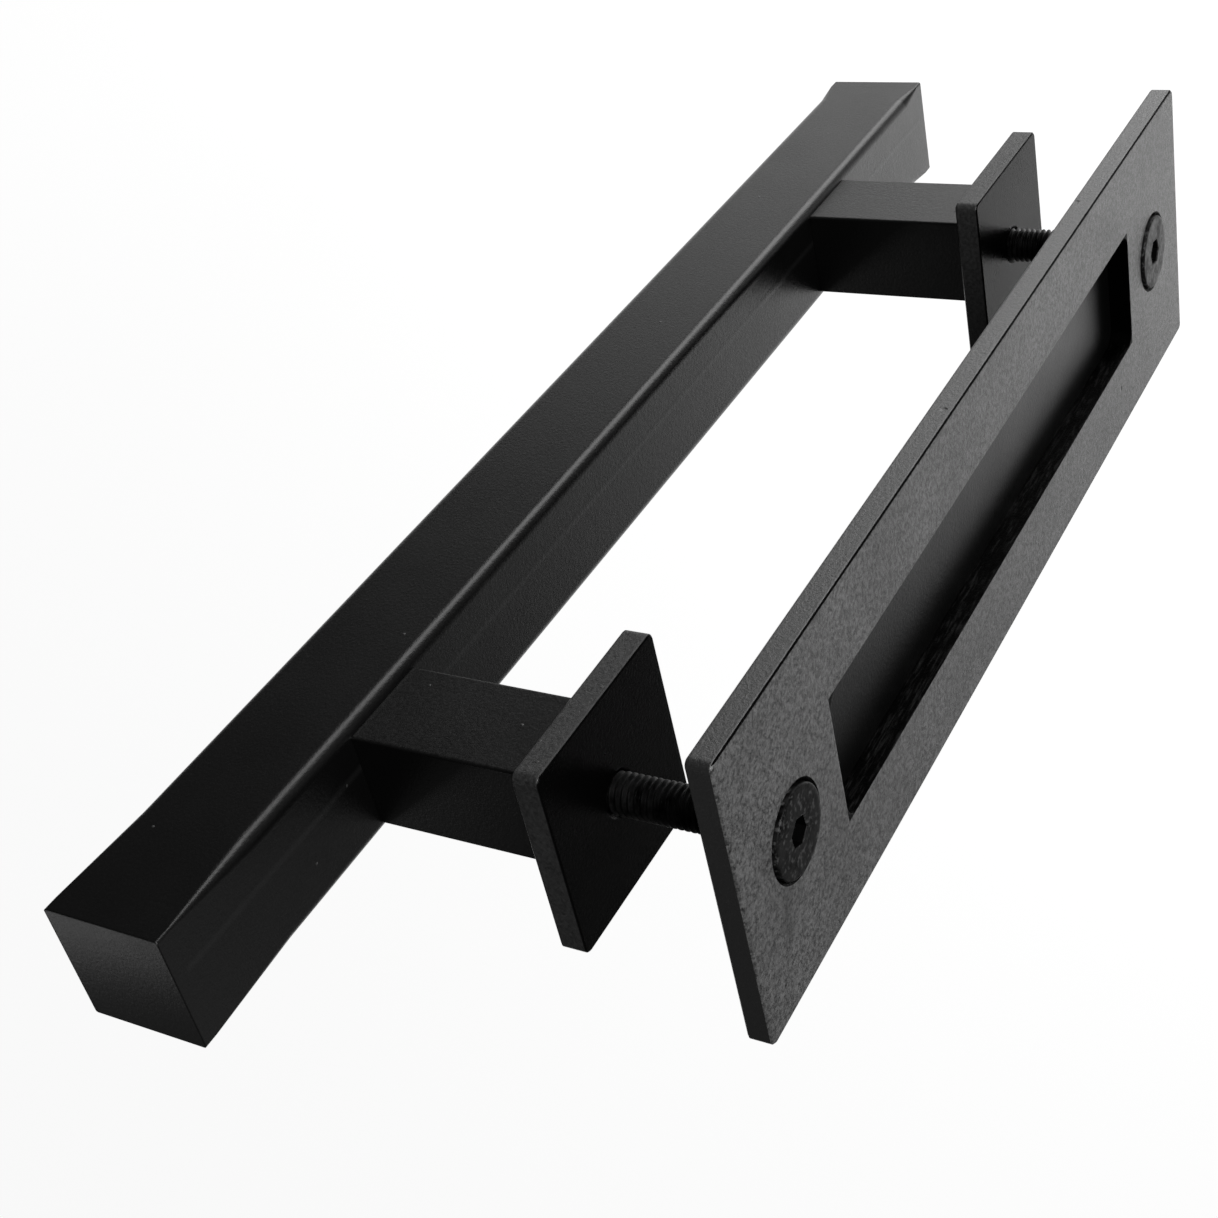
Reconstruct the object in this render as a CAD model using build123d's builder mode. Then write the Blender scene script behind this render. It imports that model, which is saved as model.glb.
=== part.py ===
from build123d import *

import os
from math import radians, tan

# Barn door pull handle: a square pull bar on two posts, bolted through the door to a flush plate with a pocket.
# Frame: +Z runs up along the bar, +Y points through the door from the bar to the flush plate, and X is across.
# The origin lies in the door's face under the base plates, midway between the two screws.

# Pull bar, a square tube closed at each end by a welded plate
bar_length = 328.0
bar_side = 25.0
bar_wall = 2.0
bar_edge_radius = 2.5
bar_inner_radius = 0.5
end_cap_thickness = 3.0

# The bar's round edges run out into crisp corners where each cap's weld is ground flush
cap_corner_radius = 0.5
edge_runout = {"upper": 22.0, "lower": 8.0}

# Posts between the bar and the base plates
screw_spacing = 200.0
post_side = 20.6
post_length = 42.0
post_edge_radius = 0.5

# Base plates on the door
base_side = 40.0
base_thickness = 5.2
base_corner_radius = 1.5
base_edge_chamfer = 0.3

# Door between the base plates and the flush plate
door_gap = 28.5

# Flush plate with its finger pocket
flush_length = 240.0
flush_width = 62.0
flush_thickness = 4.8
flush_corner_radius = 1.5
flush_edge_chamfer = 0.4
pocket_length = 165.0
pocket_width = 27.5
pocket_corner_radius = 3.5

# Sheet behind the pocket, which laps the plate's back all round
backing_thickness = 1.2
backing_lap = 6.0
backing_corner_radius = 3.0

# Countersunk socket screws, M8 by 60, threaded all along
screw_length = 60.0
thread_diameter = 8.0
thread_pitch = 1.25
screw_tip_chamfer = 0.8
head_diameter = 16.6
head_rim = 1.35
head_edge_chamfer = 0.3
socket_across_flats = 5.0
socket_depth = 3.4
socket_turn = {"upper": 8.0, "lower": 20.0}

# Holes for the screws
clearance_diameter = 9.0
countersink_diameter = 18.1
countersink_angle = 90.0
tap_mouth_diameter = 9.0
tap_mouth_angle = 90.0
tap_spare_depth = 5.0
drill_point_angle = 118.0

# Places along Y, from the bar to the flush plate's front
bar_face_y = -(base_thickness + post_length)
bar_centre_y = bar_face_y - bar_side / 2
flush_front_y = door_gap + flush_thickness

# The two ends of the handle, and how far each one's screw lies from the middle
end_sides = {"upper": 1, "lower": -1}
screw_reach = screw_spacing / 2
tube_length = bar_length - 2 * end_cap_thickness
round_ends_z = {end: side * (tube_length / 2 - edge_runout[end]) for end, side in end_sides.items()}

# The head's cone lies in the countersink, and its rim stands out of the plate
cone_slope = tan(radians(countersink_angle / 2))
head_radius = head_diameter / 2
thread_radius = thread_diameter / 2
rim_y = flush_front_y - (countersink_diameter / 2 - head_radius) / cone_slope
head_face_y = rim_y + head_rim
cone_end_y = rim_y - (head_radius - thread_radius) / cone_slope
tip_y = head_face_y - screw_length

# In the tapped holes, screw and hole meet at the thread's pitch radius
pitch_radius = thread_radius - 0.3248 * thread_pitch
tap_bottom_y = tip_y - tap_spare_depth
drill_point = pitch_radius / tan(radians(drill_point_angle / 2))
socket_point = socket_across_flats / 2 / tan(radians(drill_point_angle / 2))


def across_bar(z):
    """A plane across the bar's own axis at the height z, that looks along +Z."""
    return Plane(origin=(0, bar_centre_y, z))


def facing_door(y, z=0.0):
    """A plane across the screws at y, centred at the height z, that looks along +Y."""
    return Plane(origin=(0, y, z), x_dir=(1, 0, 0), z_dir=(0, 1, 0))


os.makedirs("parts", exist_ok=True)

# Pull bar: a round-edged middle, a run-out stretch towards each cap, and the tube's bore
with BuildPart() as pull_bar:
    with BuildSketch(across_bar(round_ends_z["lower"])):
        RectangleRounded(bar_side, bar_side, bar_edge_radius)
    extrude(amount=round_ends_z["upper"] - round_ends_z["lower"])
    for end, side in end_sides.items():
        with BuildSketch(across_bar(round_ends_z[end])):
            RectangleRounded(bar_side, bar_side, bar_edge_radius)
        with BuildSketch(across_bar(side * tube_length / 2)):
            RectangleRounded(bar_side, bar_side, cap_corner_radius)
        loft(ruled=True)
    with BuildSketch(across_bar(-tube_length / 2)):
        bar_bore = bar_side - 2 * bar_wall
        RectangleRounded(bar_bore, bar_bore, bar_inner_radius)
    extrude(amount=tube_length, mode=Mode.SUBTRACT)
pull_bar.part.label = "pull_bar"
export_step(pull_bar.part, "parts/pull_bar.step")

for end, side in end_sides.items():
    screw_z = side * screw_reach

    # End cap, welded over the tube's end and ground flush with it
    with BuildPart() as end_cap:
        with BuildSketch(across_bar(side * tube_length / 2)):
            RectangleRounded(bar_side, bar_side, cap_corner_radius)
        extrude(amount=side * end_cap_thickness)
    end_cap.part.label = f"{end}_end_cap"
    export_step(end_cap.part, f"parts/{end}_end_cap.step")

    # Post, with a blind tapped hole that ends in a drill point
    with BuildPart() as post:
        with BuildSketch(facing_door(-base_thickness, screw_z)):
            RectangleRounded(post_side, post_side, post_edge_radius)
        extrude(amount=-post_length)
        with Locations(facing_door(-base_thickness, screw_z)):
            Hole(radius=pitch_radius, depth=-base_thickness - tap_bottom_y)
        with Locations(facing_door(tap_bottom_y, screw_z)):
            Cone(
                bottom_radius=0,
                top_radius=pitch_radius,
                height=drill_point,
                align=(Align.CENTER, Align.CENTER, Align.MAX),
                mode=Mode.SUBTRACT,
            )
    post.part.label = f"{end}_post"
    export_step(post.part, f"parts/{end}_post.step")

    # Base plate, with the same tapped hole run right through and opened at the door
    with BuildPart() as base_plate:
        with BuildSketch(facing_door(0, screw_z)):
            RectangleRounded(base_side, base_side, base_corner_radius)
        extrude(amount=-base_thickness)
        chamfer(base_plate.faces().filter_by(Axis.Y).edges(), length=base_edge_chamfer)
        with Locations(facing_door(0, screw_z)):
            CounterSinkHole(
                radius=pitch_radius,
                counter_sink_radius=tap_mouth_diameter / 2,
                counter_sink_angle=tap_mouth_angle,
            )
    base_plate.part.label = f"{end}_base_plate"
    export_step(base_plate.part, f"parts/{end}_base_plate.step")

    # Screw, turned about its own axis: tip, engaged thread, free thread, head cone and rim
    with BuildPart() as screw:
        with BuildSketch(Plane.XY.offset(screw_z)):
            with BuildLine():
                Polyline(
                    (0, tip_y),
                    (pitch_radius - screw_tip_chamfer, tip_y),
                    (pitch_radius, tip_y + screw_tip_chamfer),
                    (pitch_radius, 0),
                    (thread_radius, 0),
                    (thread_radius, cone_end_y),
                    (head_radius, rim_y),
                    (head_radius, head_face_y),
                    (0, head_face_y),
                    close=True,
                )
            make_face()
        revolve(axis=Axis((0, 0, screw_z), (0, 1, 0)))
        chamfer(screw.faces().sort_by(Axis.Y)[-1].edges(), length=head_edge_chamfer)
        with BuildSketch(facing_door(head_face_y, screw_z)):
            RegularPolygon(
                radius=socket_across_flats / 2,
                side_count=6,
                major_radius=False,
                rotation=socket_turn[end],
            )
        extrude(amount=-socket_depth, mode=Mode.SUBTRACT)
        with Locations(facing_door(head_face_y - socket_depth, screw_z)):
            Cone(
                bottom_radius=0,
                top_radius=socket_across_flats / 2,
                height=socket_point,
                align=(Align.CENTER, Align.CENTER, Align.MAX),
                mode=Mode.SUBTRACT,
            )
    screw.part.label = f"{end}_screw"
    export_step(screw.part, f"parts/{end}_screw.step")

# Flush plate: the outer edges are eased, the pocket is cut square through, and both screw holes are countersunk
with BuildPart() as flush_plate:
    with BuildSketch(facing_door(flush_front_y)):
        RectangleRounded(flush_width, flush_length, flush_corner_radius)
    extrude(amount=-flush_thickness)
    chamfer(flush_plate.faces().filter_by(Axis.Y).edges(), length=flush_edge_chamfer)
    with BuildSketch(facing_door(flush_front_y)):
        RectangleRounded(pocket_width, pocket_length, pocket_corner_radius)
    extrude(amount=-flush_thickness, mode=Mode.SUBTRACT)
    with Locations(facing_door(flush_front_y)):
        with GridLocations(0, screw_spacing, 1, 2):
            CounterSinkHole(
                radius=clearance_diameter / 2,
                counter_sink_radius=countersink_diameter / 2,
                counter_sink_angle=countersink_angle,
            )
flush_plate.part.label = "flush_plate"
export_step(flush_plate.part, "parts/flush_plate.step")

# Pocket backing, welded flat to the plate's back around the pocket
with BuildPart() as pocket_backing:
    with BuildSketch(facing_door(door_gap)):
        RectangleRounded(
            pocket_width + 2 * backing_lap,
            pocket_length + 2 * backing_lap,
            backing_corner_radius,
        )
    extrude(amount=-backing_thickness)
pocket_backing.part.label = "pocket_backing"
export_step(pocket_backing.part, "parts/pocket_backing.step")
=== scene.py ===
from math import cos, pi, radians, sin

import bmesh
import bpy
from mathutils import Matrix, Vector


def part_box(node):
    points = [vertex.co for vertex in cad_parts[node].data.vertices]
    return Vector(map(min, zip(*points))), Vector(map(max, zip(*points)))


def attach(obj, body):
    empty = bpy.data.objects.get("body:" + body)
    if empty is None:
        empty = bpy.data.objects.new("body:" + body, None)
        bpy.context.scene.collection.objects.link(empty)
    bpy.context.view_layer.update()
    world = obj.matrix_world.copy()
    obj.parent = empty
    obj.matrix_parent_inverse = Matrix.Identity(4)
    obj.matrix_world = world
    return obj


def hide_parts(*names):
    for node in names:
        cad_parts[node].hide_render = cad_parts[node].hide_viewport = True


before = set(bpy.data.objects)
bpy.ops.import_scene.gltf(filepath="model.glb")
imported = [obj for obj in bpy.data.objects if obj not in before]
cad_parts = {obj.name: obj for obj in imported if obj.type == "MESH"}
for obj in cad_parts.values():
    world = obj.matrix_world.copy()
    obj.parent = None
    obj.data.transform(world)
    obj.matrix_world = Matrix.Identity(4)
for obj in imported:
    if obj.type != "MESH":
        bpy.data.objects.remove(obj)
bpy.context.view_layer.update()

# A barn door pull handle: a square bar on two posts, bolted to a flush plate with a finger pocket. +Z runs
# up along the bar, +Y points from the bar to the flush plate, and the door would fill the gap above Y = 0.

MM = 0.001

# The photograph's viewpoint, from above the flush plate's side near the bar's upper end
CAMERA_EYE = (-0.2158, 0.1573, 0.2992)
CAMERA_AHEAD = (0.57428, -0.49250, -0.65395)
CAMERA_UP = (-0.79409, -0.14090, -0.59124)
SENSOR_MM = 36.0
LENS_MM = 57.35

# Studio: a pale floor well below the handle, lifted to white for the camera. Reflections find it white along
# a soft band that widens away from the camera, narrower on the side of the flush plate, with a faintly lit
# stretch beyond it on that side.
FLOOR_Z = -0.9
FLOOR_SIZE = 12.0
FLOOR_COLOUR = "#D8D8D8"
BAND_TURN = -40.6
BAND_HALF_WIDTH = 0.78
BAND_SPREAD = 0.32
BAND_SOFT_EDGE = 0.66
BAND_START = -0.3
BAND_START_SOFT_EDGE = 0.5
BAND_WHITE = 0.9
BAND_NARROWING = 1.12
FAR_STRETCH = (1.86, 2.15)
FAR_STRETCH_LIGHT = 0.26
ROOM_LIGHT = 0.05

# Powder coats: how round they leave an edge, how wide and deep their textures are, and their sheen. The real
# orange peel and sand grit are too fine to show in a render, so both are drawn coarser than they are.
COAT_EDGE = 0.45 * MM
PEEL_SIZE = 0.7 * MM
GRIT_SIZE = 0.7 * MM
CLOUD_SIZE = 16 * MM
PEEL_DEPTH = 0.06 * MM
SAND_DEPTH = 0.13 * MM
SAWN_DEPTH = 0.08 * MM
POST_GRAIN_DEPTH = 0.02 * MM
# The posts' grain is lightened partly as painted light
POST_GRAIN_AND_PAINTED_LIGHT = 0.24
CLOUD_SHADE = 0.35
GLOSS_DRIFT = 0.02
SATIN_ROUGHNESS = 0.31
SATIN_SPECULAR = 0.5
DOOR_FACE_ROUGHNESS = 0.26
DOOR_FACE_SPECULAR = 0.04
SAWN_EDGE_ROUGHNESS = 0.42
SAND_ROUGHNESS = 0.4
CUT_ROUGHNESS = 0.6
SAND_SPECULAR = 1.0

# Dust nibs in the coat, where the photograph shows them. Every dot is full over its core and soft beyond.
DOT_CORE = 0.3
NIB_RADIUS = 0.35 * MM
NIB_HEIGHT = 0.1 * MM
TUBE_NIBS = ((-12.5, -58.6, -32.5), (-12.5, -66.5, 142.0), (-12.5, -71.5, 51.0), (-12.5, -52.5, 84.0),
             (-3.0, -47.2, 115.0), (4.0, -47.2, 128.0), (-12.5, -63.0, -95.0))
POST_NIBS = ((-10.3, -18.0, 98.8), (-10.3, -41.0, 93.7), (-10.3, -12.0, -96.0))
PLATE_NIBS = ((-20.0, -2.4, 115.7), (-20.0, -4.6, 111.0), (-20.0, -1.2, 96.0))

# Pits and scuffs in the flush plate's coat
PIT_RADIUS = 0.8 * MM
PIT_DEPTH = 0.2 * MM
PLATE_PITS = ((-31.0, 29.4, -62.5), (20.3, 33.3, -72.8), (-9.9, 33.3, 81.8), (-31.0, 31.5, 20.0))
SCUFF_RADIUS = 2.6 * MM
SCUFF_SHADE = 0.45
PLATE_SCUFFS = ((8.8, 33.3, 107.0), (11.2, 33.3, 107.4), (13.6, 33.3, 107.8), (16.0, 33.3, 108.2))

# Places from the frame: the tube and its caps, the posts' sides and the screws' axes. A face is told from
# its neighbours with this much slack.
FACE_SLACK = 0.1 * MM
bar_low, bar_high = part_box("pull_bar")
screw_low, screw_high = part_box("upper_screw")
TUBE_END = bar_high.z
BAR_CENTRE_Y = (bar_low.y + bar_high.y) / 2
CAP_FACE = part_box("upper_end_cap")[1].z
POST_HALF_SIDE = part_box("upper_post")[1].x - FACE_SLACK
SCREW_REACH = (screw_low.z + screw_high.z) / 2

# The tube's ground welds and draw lines, and its weld seam, a low line along the face towards the door. The
# seam's lighter tone is a painted sheen.
GROUND_WELD = 0.9 * MM
CAP_CROWN = 9.0
DRAW_LINE_WIDTH = 0.8 * MM
DRAW_LINE_LENGTH = 120 * MM
DRAW_LINE_DEPTH = 0.004 * MM
SEAM_X = -3.3 * MM
SEAM_WIDTH = 1.2 * MM
SEAM_HEIGHT = 0.03 * MM
SEAM_PAINTED_SHEEN = 0.12

# Where the finishes change: the pocket's walls and the countersinks, dark metal as painted shade, the base
# plates' duller mouths and door faces, and a dark band along the flush plate's long front edges, which is a
# painted dark reflection
POCKET_HALF_WIDTH = 13.75 * MM
POCKET_HALF_LENGTH = 82.5 * MM
COUNTERSINK_RADIUS = 9.12 * MM
TAP_MOUTH_RADIUS = 5.0 * MM
DOOR_FACE_BAND = 0.2 * MM
EDGE_BAND = 0.35 * MM
WALL_BAND = 0.3 * MM
WALL_SLACK = 0.02 * MM
CUT_STREAK = (1.6 * MM, 0.5 * MM, 5 * MM)

# Black oxide: its blotches and the spots rubbed on the heads. The sockets' inside is near-black as painted
# shade.
BLOTCH_SIZE = 2.2 * MM
BLOTCH_DEPTH = 0.08 * MM
RUBBED_SIZE = 0.9 * MM
SOCKET_MOTTLE_SIZE = 0.8 * MM
OXIDE_EDGE = 0.2 * MM
OXIDE_ROUGHNESS = (0.28, 0.5)
OXIDE_SPECULAR = 0.09
SOCKET_ROUGHNESS = 0.6
SOCKET_SPECULAR = 0.05

# Screw thread, M8 coarse
THREAD_PITCH = 1.25 * MM
THREAD_CREST_RADIUS = 3.95 * MM
THREAD_ROOT_RADIUS = 3.25 * MM
THREAD_SPOKES = 72
THREAD_ROWS = 14
THREAD_START_Y = -0.8 * MM
TIP_CHAMFER = 0.8 * MM
TIP_MIDDLE_RADIUS = 0.02 * MM
MERGE_DISTANCE = 1e-7
SHARP_DEGREES = 30

# Screw head and its hex socket, with rings on the face from near the rim to just clear of the hex's corners
HEAD_RIM = 1.35 * MM
HEAD_EASE = 0.35 * MM
SOCKET_ACROSS_FLATS = 5.0 * MM
SOCKET_DEPTH = 3.4 * MM
SOCKET_EASE = 0.2 * MM
SOCKET_POINT_SLOPE = 0.6
SOCKET_POINT_SHARE = 0.02
HEX_CLEARANCE = 1.2
FACE_RINGS = (0.8, 0.55, 0.3)
EASE_STEPS = 4
SOCKET_TURN = {"upper_screw": 8.0, "lower_screw": 20.0}


# Nodes and colours

def linear(hex_colour):
    """An sRGB hex colour as linear values with full alpha."""
    channels = [int(hex_colour[i:i + 2], 16) / 255 for i in (1, 3, 5)]
    return [c / 12.92 if c <= 0.04045 else ((c + 0.055) / 1.055) ** 2.4 for c in channels] + [1.0]


def add(tree, kind, settings=None, **inputs):
    """A node with its settings and inputs. An input that is a socket is linked, and any other is set."""
    node = tree.nodes.new(kind)
    for name, value in (settings or {}).items():
        setattr(node, name, value)
    for name, value in inputs.items():
        key = int(name[1:]) if name[0] == "_" else name.replace("_", " ")
        if isinstance(value, bpy.types.NodeSocket):
            tree.links.new(value, node.inputs[key])
        else:
            node.inputs[key].default_value = value
    return node


def new_material(name):
    """An empty node material and its tree."""
    material = bpy.data.materials.new(name)
    material.use_nodes = True
    material.node_tree.nodes.clear()
    return material, material.node_tree


# Camera

def make_camera():
    camera = bpy.data.objects.new("camera", bpy.data.cameras.new("camera"))
    bpy.context.scene.collection.objects.link(camera)
    ahead = Vector(CAMERA_AHEAD).normalized()
    right = ahead.cross(Vector(CAMERA_UP)).normalized()
    turn = Matrix((right, right.cross(ahead), -ahead)).transposed()
    camera.matrix_world = Matrix.Translation(CAMERA_EYE) @ turn.to_4x4()
    camera.data.sensor_fit = "HORIZONTAL"
    camera.data.sensor_width = SENSOR_MM
    camera.data.lens = LENS_MM
    camera.data.clip_start = 0.01
    camera.data.clip_end = 50.0
    bpy.context.scene.camera = camera


# Studio

def make_floor():
    """A matt pale sheet. The lamps light it, so it holds a shadow. The camera finds it lifted to white, and
    reflections find it so along a soft-edged band, as where only part of the backdrop paper is lit."""
    material, tree = new_material("matt_white_paper_sweep")
    path = add(tree, "ShaderNodeLightPath")
    seen = add(tree, "ShaderNodeMath", {"operation": "MAXIMUM"},
               _0=path.outputs["Is Glossy Ray"], _1=path.outputs["Is Transmission Ray"])
    place = add(tree, "ShaderNodeTexCoord").outputs["Object"]
    turned = add(tree, "ShaderNodeMapping", {"vector_type": "TEXTURE"}, Vector=place,
                 Rotation=(0.0, 0.0, radians(BAND_TURN)))
    spot = add(tree, "ShaderNodeSeparateXYZ", Vector=turned.outputs[0])
    plate_side = add(tree, "ShaderNodeMath", {"operation": "MULTIPLY"}, _0=spot.outputs["Y"],
                     _1=BAND_NARROWING)
    bar_side = add(tree, "ShaderNodeMath", {"operation": "MULTIPLY"}, _0=spot.outputs["Y"], _1=-1.0)
    aside = add(tree, "ShaderNodeMath", {"operation": "MAXIMUM"}, _0=plate_side.outputs[0],
                _1=bar_side.outputs[0])
    edge = add(tree, "ShaderNodeMath", {"operation": "MULTIPLY_ADD"},
               _0=spot.outputs["X"], _1=-BAND_SPREAD, _2=aside.outputs[0])
    across = add(tree, "ShaderNodeMapRange", {"interpolation_type": "SMOOTHSTEP"}, Value=edge.outputs[0],
                 From_Min=BAND_HALF_WIDTH - BAND_SOFT_EDGE / 2,
                 From_Max=BAND_HALF_WIDTH + BAND_SOFT_EDGE / 2,
                 To_Min=BAND_WHITE, To_Max=0.0)
    along = add(tree, "ShaderNodeMapRange", {"interpolation_type": "SMOOTHSTEP"}, Value=spot.outputs["X"],
                From_Min=BAND_START - BAND_START_SOFT_EDGE / 2,
                From_Max=BAND_START + BAND_START_SOFT_EDGE / 2)
    white = add(tree, "ShaderNodeMath", {"operation": "MULTIPLY"}, _0=across.outputs[0], _1=along.outputs[0])
    beyond = add(tree, "ShaderNodeMapRange", {"interpolation_type": "SMOOTHSTEP"}, Value=spot.outputs["Y"],
                 From_Min=FAR_STRETCH[0], From_Max=FAR_STRETCH[1], To_Max=FAR_STRETCH_LIGHT)
    white = add(tree, "ShaderNodeMath", {"operation": "ADD"}, _0=white.outputs[0], _1=beyond.outputs[0])
    white = add(tree, "ShaderNodeMath", {"operation": "MULTIPLY"}, _0=seen.outputs[0], _1=white.outputs[0])
    own_light = add(tree, "ShaderNodeMath", {"operation": "MULTIPLY_ADD"},
                    _0=path.outputs["Is Camera Ray"], _1=BAND_WHITE, _2=white.outputs[0])
    glow = add(tree, "ShaderNodeEmission", Color=linear("#FFFFFF"), Strength=own_light.outputs[0])
    paper = add(tree, "ShaderNodeBsdfDiffuse", Color=linear(FLOOR_COLOUR))
    both = add(tree, "ShaderNodeAddShader", _0=glow.outputs[0], _1=paper.outputs[0])
    add(tree, "ShaderNodeOutputMaterial", Surface=both.outputs[0])
    mesh = bpy.data.meshes.new("floor")
    half = FLOOR_SIZE / 2
    corners = [(-half, -half, FLOOR_Z), (half, -half, FLOOR_Z), (half, half, FLOOR_Z),
               (-half, half, FLOOR_Z)]
    mesh.from_pydata(corners, [], [(0, 1, 2, 3)])
    mesh.materials.append(material)
    floor = bpy.data.objects.new("floor", mesh)
    bpy.context.scene.collection.objects.link(floor)


def soft_box(name, place, width, height, power, aim=(0.0, -0.02, 0.0)):
    """An area lamp at a place, turned to its aim, with its height in the upright plane through both."""
    lamp = bpy.data.lights.new(name, "AREA")
    lamp.shape = "RECTANGLE"
    lamp.size = width
    lamp.size_y = height
    lamp.energy = power
    box = bpy.data.objects.new(name, lamp)
    box.location = place
    box.rotation_euler = (Vector(aim) - Vector(place)).to_track_quat("-Z", "Y").to_euler()
    box.visible_camera = False
    bpy.context.scene.collection.objects.link(box)


def make_lamps():
    soft_box("key_from_door_side", (-0.50, 0.62, 0.42), 0.5, 0.5, 8.0)
    soft_box("low_strip_along_the_long_edge", (-0.56, 0.03, -0.46), 0.36, 0.85, 3.0)
    soft_box("soft_light_under_the_lower_end", (0.22, 0.12, -0.72), 0.3, 0.3, 0.12)
    soft_box("rim_light_behind_the_bar", (0.30, -0.50, 0.50), 0.16, 0.16, 0.1)
    world = bpy.data.worlds.new("studio_room")
    world.use_nodes = True
    world.node_tree.nodes.clear()
    path = add(world.node_tree, "ShaderNodeLightPath")
    strength = add(world.node_tree, "ShaderNodeMath", {"operation": "MAXIMUM"},
                   _0=path.outputs["Is Camera Ray"], _1=ROOM_LIGHT)
    room = add(world.node_tree, "ShaderNodeBackground", Color=linear("#FFFFFF"),
               Strength=strength.outputs[0])
    add(world.node_tree, "ShaderNodeOutputWorld", Surface=room.outputs[0])
    bpy.context.scene.world = world
    bpy.context.scene.view_settings.view_transform = "Standard"


# Finishes

def dots_at(tree, place, spots, radius):
    """A mask with a small soft dot at each of the spots, which are in millimetres."""
    total = None
    for spot in spots:
        away = add(tree, "ShaderNodeVectorMath", {"operation": "DISTANCE"}, _0=place,
                   _1=[v * MM for v in spot])
        dot = add(tree, "ShaderNodeMapRange", {"interpolation_type": "SMOOTHSTEP"},
                  Value=away.outputs["Value"],
                  From_Min=DOT_CORE * radius, From_Max=radius, To_Min=1.0, To_Max=0.0).outputs[0]
        if total is not None:
            dot = add(tree, "ShaderNodeMath", {"operation": "MAXIMUM"}, _0=total, _1=dot).outputs[0]
        total = dot
    return total


def raised(tree, height, depth, normal):
    """The normal after a bump of this depth in metres."""
    return add(tree, "ShaderNodeBump", Height=height, Strength=1.0, Distance=depth, Normal=normal).outputs[0]


def around_screws(tree, spot, radius):
    """A mask of 1 within a radius of either screw's axis."""
    up = add(tree, "ShaderNodeMath", {"operation": "ABSOLUTE"}, _0=spot.outputs["Z"])
    flat = add(tree, "ShaderNodeCombineXYZ", X=spot.outputs["X"], Z=up.outputs[0])
    away = add(tree, "ShaderNodeVectorMath", {"operation": "DISTANCE"}, _0=flat.outputs[0],
               _1=(0.0, 0.0, SCREW_REACH))
    return add(tree, "ShaderNodeMath", {"operation": "LESS_THAN"}, _0=away.outputs["Value"],
               _1=radius).outputs[0]


def across_plates(tree):
    """A mask of 1 on the faces that look along Y, and 0 on the edges and walls that run between them."""
    way = add(tree, "ShaderNodeSeparateXYZ",
              Vector=add(tree, "ShaderNodeNewGeometry").outputs["True Normal"])
    along = add(tree, "ShaderNodeMath", {"operation": "ABSOLUTE"}, _0=way.outputs["Y"])
    return add(tree, "ShaderNodeMath", {"operation": "GREATER_THAN"}, _0=along.outputs[0], _1=0.5).outputs[0]


def inside(tree, first, first_reach, second, second_reach):
    """A mask of 1 where two coordinates both lie within their reach of 0."""
    masks = [add(tree, "ShaderNodeMath", {"operation": "COMPARE"}, _0=value, _1=0.0, _2=reach).outputs[0]
             for value, reach in ((first, first_reach), (second, second_reach))]
    return add(tree, "ShaderNodeMath", {"operation": "MULTIPLY"}, _0=masks[0], _1=masks[1]).outputs[0]


def satin_coat(tree, place, normal, nibs, roughness, shade=None, **own):
    """Smooth black powder coat over a normal: a faint orange peel, dust nibs and slightly uneven gloss."""
    peel = add(tree, "ShaderNodeTexNoise", Vector=place, Scale=1 / PEEL_SIZE, Detail=4.0, Roughness=0.7)
    normal = raised(tree, peel.outputs["Fac"], PEEL_DEPTH, normal)
    normal = raised(tree, nibs, NIB_HEIGHT, normal)
    clouds = add(tree, "ShaderNodeTexNoise", Vector=place, Scale=1 / CLOUD_SIZE, Detail=4.0, Roughness=0.6)
    gloss = add(tree, "ShaderNodeMapRange", Value=clouds.outputs["Fac"], From_Min=0.35, From_Max=0.65,
                To_Min=-GLOSS_DRIFT, To_Max=GLOSS_DRIFT)
    gloss = add(tree, "ShaderNodeMath", {"operation": "ADD"}, _0=gloss.outputs[0], _1=roughness)
    tone = add(tree, "ShaderNodeMix", {"data_type": "RGBA"}, _0=nibs, _6=linear("#050505"),
               _7=linear("#343434"))
    if shade is not None:
        tone = add(tree, "ShaderNodeMix", {"data_type": "RGBA"}, _0=shade, _6=tone.outputs[2],
                   _7=linear("#343434"))
    coat = add(tree, "ShaderNodeBsdfPrincipled", Base_Color=tone.outputs[2], Roughness=gloss.outputs[0],
               Normal=normal, **own)
    add(tree, "ShaderNodeOutputMaterial", Surface=coat.outputs[0])


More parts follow.
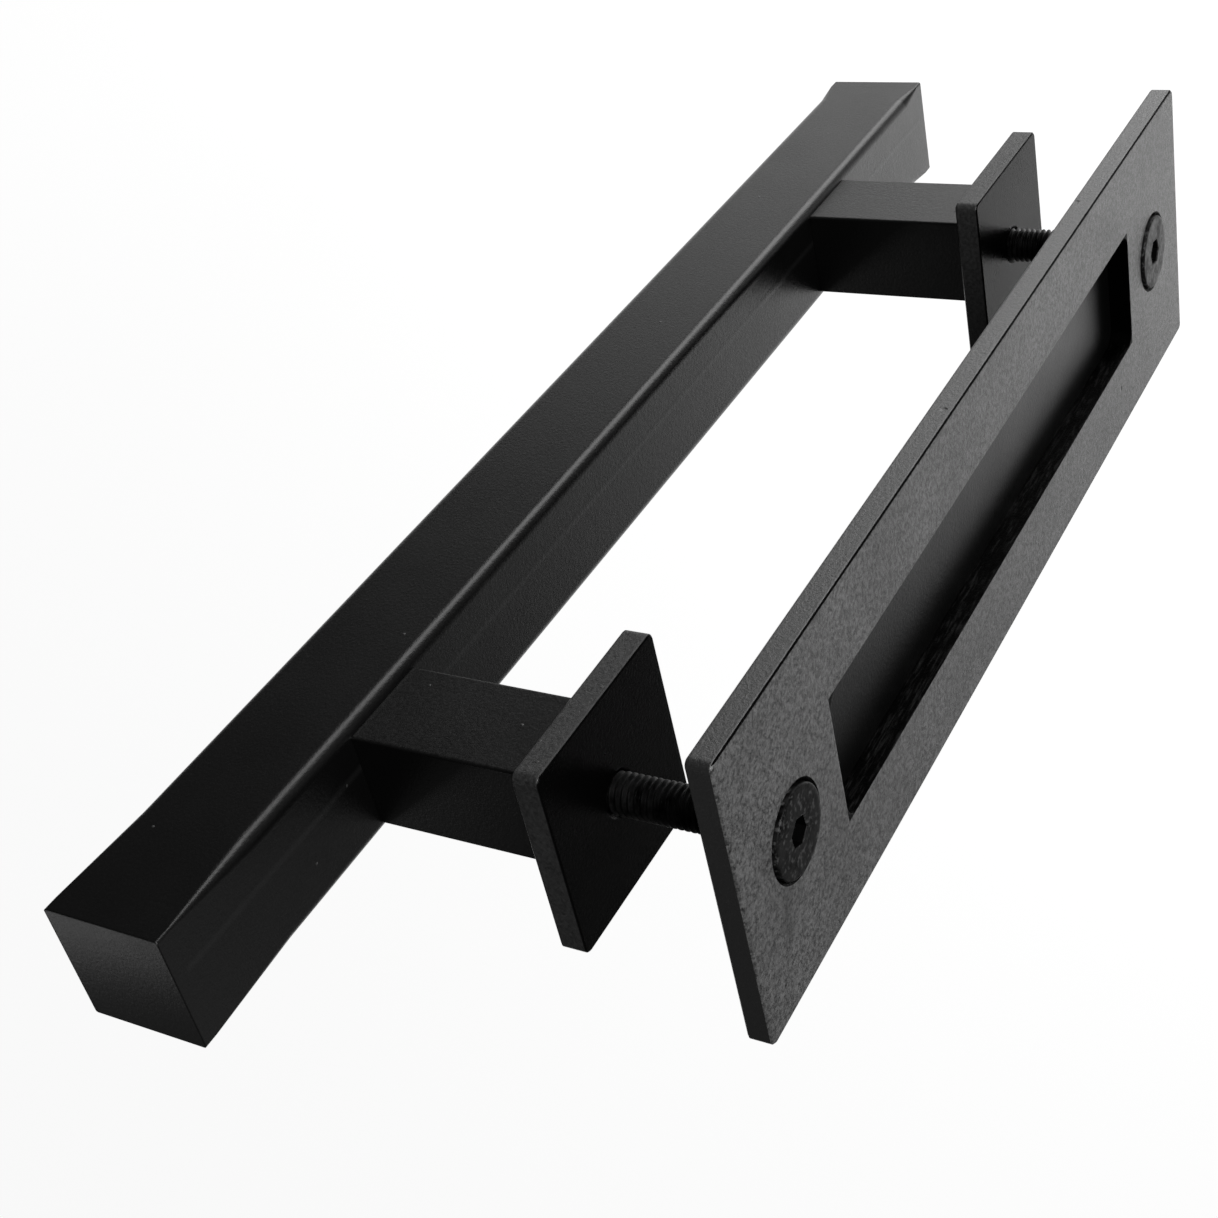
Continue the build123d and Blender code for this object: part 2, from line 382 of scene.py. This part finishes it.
def satin_coated_tube():
    """Drawn square tube with flush-ground caps under a satin powder coat, black with an even sheen. The weld
    seam and fine draw lines show through it, the seam lightened by a painted sheen, and the caps' faces are
    ground slightly crowned."""
    material, tree = new_material("satin_powder_coated_tube")
    place = add(tree, "ShaderNodeTexCoord").outputs["Object"]
    spot = add(tree, "ShaderNodeSeparateXYZ", Vector=place)
    flat = add(tree, "ShaderNodeNewGeometry").outputs["Normal"]
    bevel = add(tree, "ShaderNodeBevel", {"samples": 6}, Radius=COAT_EDGE).outputs[0]
    height = add(tree, "ShaderNodeMath", {"operation": "ABSOLUTE"}, _0=spot.outputs["Z"])
    weld = add(tree, "ShaderNodeMath", {"operation": "COMPARE"}, _0=height.outputs[0], _1=TUBE_END,
               _2=GROUND_WELD)
    normal = add(tree, "ShaderNodeMix", {"data_type": "VECTOR"}, _0=weld.outputs[0], _4=bevel,
                 _5=flat).outputs[1]

    on_cap = add(tree, "ShaderNodeMath", {"operation": "GREATER_THAN"}, _0=height.outputs[0],
                 _1=CAP_FACE - FACE_SLACK)
    lean = add(tree, "ShaderNodeMath", {"operation": "MULTIPLY"}, _0=spot.outputs["X"], _1=CAP_CROWN)
    lean = add(tree, "ShaderNodeMath", {"operation": "MULTIPLY"}, _0=lean.outputs[0], _1=on_cap.outputs[0])
    lean = add(tree, "ShaderNodeCombineXYZ", X=lean.outputs[0])
    normal = add(tree, "ShaderNodeVectorMath", {"operation": "ADD"}, _0=normal,
                 _1=lean.outputs[0]).outputs[0]
    normal = add(tree, "ShaderNodeVectorMath", {"operation": "NORMALIZE"}, _0=normal).outputs[0]

    stretched = add(tree, "ShaderNodeMapping", Vector=place,
                    Scale=(1 / DRAW_LINE_WIDTH, 1 / DRAW_LINE_WIDTH, 1 / DRAW_LINE_LENGTH))
    lines = add(tree, "ShaderNodeTexNoise", Vector=stretched.outputs[0], Scale=1.0, Detail=2.0)
    normal = raised(tree, lines.outputs["Fac"], DRAW_LINE_DEPTH, normal)

    from_seam = add(tree, "ShaderNodeMath", {"operation": "SUBTRACT"}, _0=spot.outputs["X"], _1=SEAM_X)
    from_seam = add(tree, "ShaderNodeMath", {"operation": "ABSOLUTE"}, _0=from_seam.outputs[0])
    seam = add(tree, "ShaderNodeMapRange", {"interpolation_type": "SMOOTHSTEP"}, Value=from_seam.outputs[0],
               From_Min=0.0, From_Max=SEAM_WIDTH, To_Min=1.0, To_Max=0.0)
    door_side = add(tree, "ShaderNodeMath", {"operation": "GREATER_THAN"}, _0=spot.outputs["Y"],
                    _1=BAR_CENTRE_Y)
    on_tube = add(tree, "ShaderNodeMath", {"operation": "LESS_THAN"}, _0=height.outputs[0], _1=TUBE_END)
    door_side = add(tree, "ShaderNodeMath", {"operation": "MULTIPLY"}, _0=door_side.outputs[0],
                    _1=on_tube.outputs[0])
    seam = add(tree, "ShaderNodeMath", {"operation": "MULTIPLY"}, _0=seam.outputs[0],
               _1=door_side.outputs[0])
    normal = raised(tree, seam.outputs[0], SEAM_HEIGHT, normal)
    # Painted sheen: the seam's ridge is also drawn in a lighter tone.
    seam = add(tree, "ShaderNodeMath", {"operation": "MULTIPLY"}, _0=seam.outputs[0], _1=SEAM_PAINTED_SHEEN)

    nibs = dots_at(tree, place, TUBE_NIBS, NIB_RADIUS)
    satin_coat(tree, place, normal, nibs, SATIN_ROUGHNESS, seam.outputs[0])
    return material


def satin_coated_flats():
    """Posts and backing sheet under the same satin coat, a little grainier on two sides of each post, and
    lighter there, partly as painted light on the side that faces the lamps.
    """
    material, tree = new_material("satin_powder_coated_steel")
    place = add(tree, "ShaderNodeTexCoord").outputs["Object"]
    spot = add(tree, "ShaderNodeSeparateXYZ", Vector=place)
    grain = add(tree, "ShaderNodeTexNoise", Vector=place, Scale=1 / GRIT_SIZE, Detail=4.0, Roughness=0.75)
    # Partly painted light: the grain also lightens the posts' two sides along X, the -X one facing the
    # lamps.
    grey = add(tree, "ShaderNodeMapRange", Value=grain.outputs["Fac"], From_Min=0.4, From_Max=0.7,
               To_Max=POST_GRAIN_AND_PAINTED_LIGHT)
    on_post = add(tree, "ShaderNodeMath", {"operation": "LESS_THAN"}, _0=spot.outputs["Y"], _1=0.0)
    aside = add(tree, "ShaderNodeMath", {"operation": "ABSOLUTE"}, _0=spot.outputs["X"])
    aside = add(tree, "ShaderNodeMath", {"operation": "GREATER_THAN"}, _0=aside.outputs[0],
                _1=POST_HALF_SIDE)
    grey = add(tree, "ShaderNodeMath", {"operation": "MULTIPLY"}, _0=grey.outputs[0], _1=on_post.outputs[0])
    grey = add(tree, "ShaderNodeMath", {"operation": "MULTIPLY"}, _0=grey.outputs[0], _1=aside.outputs[0])
    bevel = add(tree, "ShaderNodeBevel", {"samples": 6}, Radius=COAT_EDGE).outputs[0]
    normal = raised(tree, grey.outputs[0], POST_GRAIN_DEPTH, bevel)
    nibs = dots_at(tree, place, POST_NIBS, NIB_RADIUS)
    satin_coat(tree, place, normal, nibs, SATIN_ROUGHNESS, grey.outputs[0],
               Specular_IOR_Level=SATIN_SPECULAR)
    return material


def satin_coated_base_plates():
    """Sawn flat bar under the satin coat. The sawn edges stay grainy and look greyer, and the face that beds
    on the door and the tapped hole's mouth are duller than the rest."""
    material, tree = new_material("satin_powder_coated_sawn_steel")
    place = add(tree, "ShaderNodeTexCoord").outputs["Object"]
    spot = add(tree, "ShaderNodeSeparateXYZ", Vector=place)
    sawn = add(tree, "ShaderNodeMath", {"operation": "SUBTRACT"}, _0=1.0, _1=across_plates(tree))
    grain = add(tree, "ShaderNodeTexNoise", Vector=place, Scale=1 / GRIT_SIZE, Detail=4.0, Roughness=0.75)
    bevel = add(tree, "ShaderNodeBevel", {"samples": 6}, Radius=COAT_EDGE).outputs[0]
    rough_saw = add(tree, "ShaderNodeMath", {"operation": "MULTIPLY"}, _0=grain.outputs["Fac"],
                    _1=sawn.outputs[0])
    normal = raised(tree, rough_saw.outputs[0], SAWN_DEPTH, bevel)
    grey = add(tree, "ShaderNodeMapRange", Value=rough_saw.outputs[0], From_Min=0.3, From_Max=0.65)
    on_door = add(tree, "ShaderNodeMath", {"operation": "COMPARE"}, _0=spot.outputs["Y"], _1=0.0,
                  _2=DOOR_FACE_BAND)
    gloss = add(tree, "ShaderNodeMapRange", Value=on_door.outputs[0],
                To_Min=SATIN_ROUGHNESS, To_Max=DOOR_FACE_ROUGHNESS)
    gloss = add(tree, "ShaderNodeMapRange", Value=sawn.outputs[0], To_Min=gloss.outputs[0],
                To_Max=SAWN_EDGE_ROUGHNESS)
    dull = add(tree, "ShaderNodeMath", {"operation": "MAXIMUM"},
               _0=on_door.outputs[0], _1=around_screws(tree, spot, TAP_MOUTH_RADIUS))
    dull = add(tree, "ShaderNodeMapRange", Value=dull.outputs[0], To_Min=SATIN_SPECULAR,
               To_Max=DOOR_FACE_SPECULAR)
    nibs = dots_at(tree, place, PLATE_NIBS, NIB_RADIUS)
    satin_coat(tree, place, normal, nibs, gloss.outputs[0], grey.outputs[0],
               Specular_IOR_Level=dull.outputs[0])
    return material


def sand_coated_plate():
    """Black powder coat with a fine sand texture, which scatters light at a low angle and looks grey there.
    The sawn edges took less of it. The pocket's walls and the countersinks are dark, shiny metal as painted
    shade, a fine band along the long front edges is dark as a painted reflection, and the pocket's long
    walls have streaks along the cut."""
    material, tree = new_material("sand_powder_coated_steel")
    place = add(tree, "ShaderNodeTexCoord").outputs["Object"]
    spot = add(tree, "ShaderNodeSeparateXYZ", Vector=place)
    grit = add(tree, "ShaderNodeTexNoise", Vector=place, Scale=1 / GRIT_SIZE, Detail=4.0, Roughness=0.75)
    clouds = add(tree, "ShaderNodeTexNoise", Vector=place, Scale=1 / CLOUD_SIZE, Detail=4.0)
    bevel = add(tree, "ShaderNodeBevel", {"samples": 6}, Radius=COAT_EDGE).outputs[0]
    normal = raised(tree, grit.outputs["Fac"], SAND_DEPTH, bevel)
    grain = add(tree, "ShaderNodeMapRange", Value=grit.outputs["Fac"], From_Min=0.38, From_Max=0.62)
    tone = add(tree, "ShaderNodeMix", {"data_type": "RGBA"}, _0=grain.outputs[0],
               _6=linear("#181818"), _7=linear("#707070"))
    shadow = add(tree, "ShaderNodeMapRange", Value=clouds.outputs["Fac"], From_Min=0.3, From_Max=0.7,
                 To_Min=CLOUD_SHADE, To_Max=0.0)
    tone = add(tree, "ShaderNodeMix", {"data_type": "RGBA"}, _0=shadow.outputs[0],
               _6=tone.outputs[2], _7=linear("#101010"))
    low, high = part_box("flush_plate")
    front = across_plates(tree)
    tone = add(tree, "ShaderNodeMix", {"data_type": "RGBA"}, _0=front, _6=linear("#1A1A1A"),
               _7=tone.outputs[2])
    scuffs = add(tree, "ShaderNodeMath", {"operation": "MULTIPLY"},
                 _0=dots_at(tree, place, PLATE_SCUFFS, SCUFF_RADIUS), _1=SCUFF_SHADE)
    tone = add(tree, "ShaderNodeMix", {"data_type": "RGBA"}, _0=scuffs.outputs[0],
               _6=tone.outputs[2], _7=linear("#050505"))
    pits = dots_at(tree, place, PLATE_PITS, PIT_RADIUS)
    tone = add(tree, "ShaderNodeMix", {"data_type": "RGBA"}, _0=pits, _6=tone.outputs[2],
               _7=linear("#050505"))
    sunk = add(tree, "ShaderNodeMath", {"operation": "SUBTRACT"}, _0=1.0, _1=pits)
    normal = raised(tree, sunk.outputs[0], PIT_DEPTH, normal)

    # Painted shade: the pocket's walls and the countersinks become dark, shiny metal, and so does a fine
    # band along the long front edges, as a painted dark reflection.
    wall = inside(tree, spot.outputs["X"], POCKET_HALF_WIDTH + WALL_SLACK,
                  spot.outputs["Z"], POCKET_HALF_LENGTH + WALL_SLACK)
    off_back = add(tree, "ShaderNodeMath", {"operation": "GREATER_THAN"}, _0=spot.outputs["Y"],
                   _1=low.y + WALL_SLACK)
    holes = add(tree, "ShaderNodeMath", {"operation": "MULTIPLY"},
                _0=off_back.outputs[0], _1=around_screws(tree, spot, COUNTERSINK_RADIUS))
    dark_metal_painted_shade = add(tree, "ShaderNodeMath", {"operation": "MAXIMUM"}, _0=wall, _1=holes.outputs[0])
    aside = add(tree, "ShaderNodeMath", {"operation": "ABSOLUTE"}, _0=spot.outputs["X"])
    eased = [add(tree, "ShaderNodeMath", {"operation": "COMPARE"}, _0=value, _1=edge - EDGE_BAND / 2,
                 _2=EDGE_BAND / 2).outputs[0]
             for value, edge in ((spot.outputs["Y"], high.y), (aside.outputs[0], high.x))]
    eased = add(tree, "ShaderNodeMath", {"operation": "MULTIPLY"}, _0=eased[0], _1=eased[1])
    dark_metal_painted_shade = add(tree, "ShaderNodeMath", {"operation": "MAXIMUM"}, _0=dark_metal_painted_shade.outputs[0], _1=eased.outputs[0])
    long_wall = add(tree, "ShaderNodeMath", {"operation": "COMPARE"}, _0=aside.outputs[0],
                    _1=POCKET_HALF_WIDTH, _2=WALL_BAND)
    stretched = add(tree, "ShaderNodeMapping", Vector=place, Scale=[1 / size for size in CUT_STREAK])
    streaks = add(tree, "ShaderNodeTexNoise", Vector=stretched.outputs[0], Scale=1.0, Detail=4.0,
                  Roughness=0.7)
    cut = add(tree, "ShaderNodeMapRange", Value=streaks.outputs["Fac"], From_Min=0.5, From_Max=0.72)
    cut = add(tree, "ShaderNodeMath", {"operation": "MULTIPLY"}, _0=cut.outputs[0], _1=long_wall.outputs[0])
    # The streaks are the cut's own; the dark metal under them is painted shade.
    cut = add(tree, "ShaderNodeMix", {"data_type": "RGBA"}, _0=cut.outputs[0],
              _6=linear("#060606"), _7=linear("#3C3C3C"))
    roughness = add(tree, "ShaderNodeMapRange", Value=dark_metal_painted_shade.outputs[0], To_Min=SAND_ROUGHNESS,
                    To_Max=CUT_ROUGHNESS)
    tone = add(tree, "ShaderNodeMix", {"data_type": "RGBA"}, _0=dark_metal_painted_shade.outputs[0],
               _6=tone.outputs[2], _7=cut.outputs[2])
    coat = add(tree, "ShaderNodeBsdfPrincipled", Base_Color=tone.outputs[2], Roughness=roughness.outputs[0],
               Metallic=dark_metal_painted_shade.outputs[0], Specular_IOR_Level=SAND_SPECULAR, Normal=normal)
    add(tree, "ShaderNodeOutputMaterial", Surface=coat.outputs[0])
    return material


def black_oxide_steel():
    """Steel blackened in a hot salt bath: dark grey and slightly blotched, with paler rubbed spots on it."""
    material, tree = new_material("black_oxide_steel")
    place = add(tree, "ShaderNodeTexCoord").outputs["Object"]
    blotch = add(tree, "ShaderNodeTexNoise", Vector=place, Scale=1 / BLOTCH_SIZE, Detail=4.0, Roughness=0.6)
    tone = add(tree, "ShaderNodeMapRange", Value=blotch.outputs["Fac"], From_Min=0.35, From_Max=0.65)
    tone = add(tree, "ShaderNodeMix", {"data_type": "RGBA"}, _0=tone.outputs[0],
               _6=linear("#030303"), _7=linear("#1C1C1C"))
    rubbed = add(tree, "ShaderNodeTexNoise", Vector=place, Scale=1 / RUBBED_SIZE, Detail=2.0)
    rubbed = add(tree, "ShaderNodeMapRange", Value=rubbed.outputs["Fac"], From_Min=0.56, From_Max=0.68)
    height = add(tree, "ShaderNodeSeparateXYZ", Vector=place)
    on_head = add(tree, "ShaderNodeMath", {"operation": "GREATER_THAN"}, _0=height.outputs["Y"],
                  _1=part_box("upper_screw")[1].y - HEAD_RIM)
    rubbed = add(tree, "ShaderNodeMath", {"operation": "MULTIPLY"}, _0=rubbed.outputs[0],
                 _1=on_head.outputs[0])
    tone = add(tree, "ShaderNodeMix", {"data_type": "RGBA"}, _0=rubbed.outputs[0],
               _6=tone.outputs[2], _7=linear("#404040"))
    normal = add(tree, "ShaderNodeBevel", {"samples": 4}, Radius=OXIDE_EDGE).outputs[0]
    normal = raised(tree, blotch.outputs["Fac"], BLOTCH_DEPTH, normal)
    gloss = add(tree, "ShaderNodeMapRange", Value=blotch.outputs["Fac"], From_Min=0.35, From_Max=0.65,
                To_Min=OXIDE_ROUGHNESS[0], To_Max=OXIDE_ROUGHNESS[1])
    oxide = add(tree, "ShaderNodeBsdfPrincipled", Base_Color=tone.outputs[2], Roughness=gloss.outputs[0],
                Specular_IOR_Level=OXIDE_SPECULAR, Normal=normal)
    add(tree, "ShaderNodeOutputMaterial", Surface=oxide.outputs[0])
    return material


def socket_painted_shade():
    """The inside of a hex socket, black oxide drawn near-black as painted shade, which gives back almost no
    light.
    """
    material, tree = new_material("painted_shade_black_socket")
    place = add(tree, "ShaderNodeTexCoord").outputs["Object"]
    socket_mottle = add(tree, "ShaderNodeTexNoise", Vector=place, Scale=1 / SOCKET_MOTTLE_SIZE, Detail=2.0)
    # Painted shade: the socket's inside is near-black with a faint mottle.
    tone = add(tree, "ShaderNodeMix", {"data_type": "RGBA"}, _0=socket_mottle.outputs["Fac"],
               _6=linear("#010101"), _7=linear("#050505"))
    black = add(tree, "ShaderNodeBsdfPrincipled", Base_Color=tone.outputs[2], Roughness=SOCKET_ROUGHNESS,
                Specular_IOR_Level=SOCKET_SPECULAR)
    add(tree, "ShaderNodeOutputMaterial", Surface=black.outputs[0])
    return material


def dress_cad_nodes(coats):
    """Gives each CAD node that stays its finish."""
    for name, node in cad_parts.items():
        node.data.materials.clear()
        node.data.materials.append(coats.get(name, coats["others"]))


# Screws

def thread_radius(turn):
    """The radius at a share of a pitch: crest flat, flank, root and flank, close to the ISO profile."""
    share = turn % 1.0
    crest, flank = 0.14, 0.32
    if share < crest:
        return THREAD_CREST_RADIUS
    if share < crest + flank:
        return THREAD_CREST_RADIUS - (share - crest) / flank * (THREAD_CREST_RADIUS - THREAD_ROOT_RADIUS)
    if share < 1 - flank:
        return THREAD_ROOT_RADIUS
    return THREAD_CREST_RADIUS - (1 - share) / flank * (THREAD_CREST_RADIUS - THREAD_ROOT_RADIUS)


def make_screw(name, finishes):
    """A countersunk socket screw with its helical thread, in the place of its CAD node."""
    low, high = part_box(name)
    axis_z = (low.z + high.z) / 2
    head_radius = (high.z - low.z) / 2
    face_y, tip_y = high.y, low.y
    rim_y = face_y - HEAD_RIM
    cone_end_y = rim_y - (head_radius - THREAD_CREST_RADIUS)
    spokes = [radians(90 + SOCKET_TURN[name]) + 2 * pi * i / THREAD_SPOKES for i in range(THREAD_SPOKES)]
    form = bmesh.new()

    def point(radius, y, spoke):
        return form.verts.new((radius * sin(spoke), y, axis_z + radius * cos(spoke)))

    def ring(radii, y):
        return [point(radius, y, spoke) for radius, spoke in zip(radii, spokes)]

    def join(first, second, finish=0):
        for i in range(THREAD_SPOKES):
            j = (i + 1) % THREAD_SPOKES
            form.faces.new((first[i], first[j], second[j], second[i])).material_index = finish

    # Head: cone, rim, eased edge, face and socket, all as rings that start on a corner of the hex
    half_flat = SOCKET_ACROSS_FLATS / 2
    hex_reach = half_flat * HEX_CLEARANCE
    hex_radii = [half_flat / cos((a - spokes[0]) % (pi / 3) - pi / 6) for a in spokes]
    head = [([THREAD_CREST_RADIUS] * THREAD_SPOKES, cone_end_y), ([head_radius] * THREAD_SPOKES, rim_y)]
    for step in range(EASE_STEPS + 1):
        lean = step / EASE_STEPS * pi / 2
        radius = head_radius - HEAD_EASE * (1 - cos(lean))
        head.append(([radius] * THREAD_SPOKES, face_y - HEAD_EASE * (1 - sin(lean))))
    for share in FACE_RINGS:
        head.append(([hex_reach + share * (head_radius - hex_reach)] * THREAD_SPOKES, face_y))
    head.append(([r + SOCKET_EASE for r in hex_radii], face_y))
    head.append((hex_radii, face_y - SOCKET_EASE))
    head.append((hex_radii, face_y - SOCKET_DEPTH))
    head.append(([r * SOCKET_POINT_SHARE for r in hex_radii],
                 face_y - SOCKET_DEPTH - half_flat * SOCKET_POINT_SLOPE))
    rings = [ring(radii, y) for radii, y in head]
    for first, second in zip(rings[:-3], rings[1:-2]):
        join(first, second)
    join(rings[-3], rings[-2], finish=1)
    join(rings[-2], rings[-1], finish=1)
    form.faces.new(rings[-1]).material_index = 1

    # Thread: rows of points that follow the helix from the hole's mouth in the base plate to the head's
    # cone, where it runs out to the crest's radius
    last_row = int((cone_end_y - THREAD_START_Y) / THREAD_PITCH + 2) * THREAD_ROWS
    columns = []
    for i, a in enumerate(spokes):
        advance = i / THREAD_SPOKES * THREAD_PITCH
        column = []
        for row in range(-THREAD_ROWS, last_row):
            y = min(max(THREAD_START_Y + row / THREAD_ROWS * THREAD_PITCH + advance, THREAD_START_Y),
                    cone_end_y)
            radius = min(thread_radius(row / THREAD_ROWS), THREAD_ROOT_RADIUS + y - THREAD_START_Y)
            radius = max(radius, THREAD_CREST_RADIUS - (cone_end_y - y))
            column.append(point(radius, y, a))
        columns.append(column)
    for i in range(THREAD_SPOKES):
        here, there = columns[i], columns[(i + 1) % THREAD_SPOKES]
        shift = THREAD_ROWS if i == THREAD_SPOKES - 1 else 0
        for row in range(len(here) - 1 - shift):
            form.faces.new((here[row], here[row + 1], there[row + shift + 1], there[row + shift]))

    # Hidden shank in the tapped hole, with its chamfered tip
    shank = [(THREAD_ROOT_RADIUS, THREAD_START_Y), (THREAD_ROOT_RADIUS, tip_y + TIP_CHAMFER),
             (THREAD_ROOT_RADIUS - TIP_CHAMFER, tip_y), (TIP_MIDDLE_RADIUS, tip_y)]
    rings = [ring([radius] * THREAD_SPOKES, y) for radius, y in shank]
    for first, second in zip(rings, rings[1:]):
        join(first, second)
    form.faces.new(rings[-1])

    bmesh.ops.remove_doubles(form, verts=form.verts, dist=MERGE_DISTANCE)
    bmesh.ops.dissolve_degenerate(form, edges=form.edges, dist=MERGE_DISTANCE)
    bmesh.ops.recalc_face_normals(form, faces=form.faces)
    mesh = bpy.data.meshes.new(f"threaded_{name}")
    form.to_mesh(mesh)
    form.free()
    mesh.shade_smooth()
    mesh.set_sharp_from_angle(angle=radians(SHARP_DEGREES))
    for finish in finishes:
        mesh.materials.append(finish)
    screw = bpy.data.objects.new(f"threaded_{name}", mesh)
    bpy.context.scene.collection.objects.link(screw)
    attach(screw, "root")
    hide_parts(name)


make_camera()
make_floor()
make_lamps()
tube_coat = satin_coated_tube()
base_coat = satin_coated_base_plates()
dress_cad_nodes({
    "pull_bar": tube_coat,
    "upper_end_cap": tube_coat,
    "lower_end_cap": tube_coat,
    "upper_base_plate": base_coat,
    "lower_base_plate": base_coat,
    "flush_plate": sand_coated_plate(),
    "others": satin_coated_flats(),
})
screw_finishes = (black_oxide_steel(), socket_painted_shade())
for screw_name in ("upper_screw", "lower_screw"):
    make_screw(screw_name, screw_finishes)
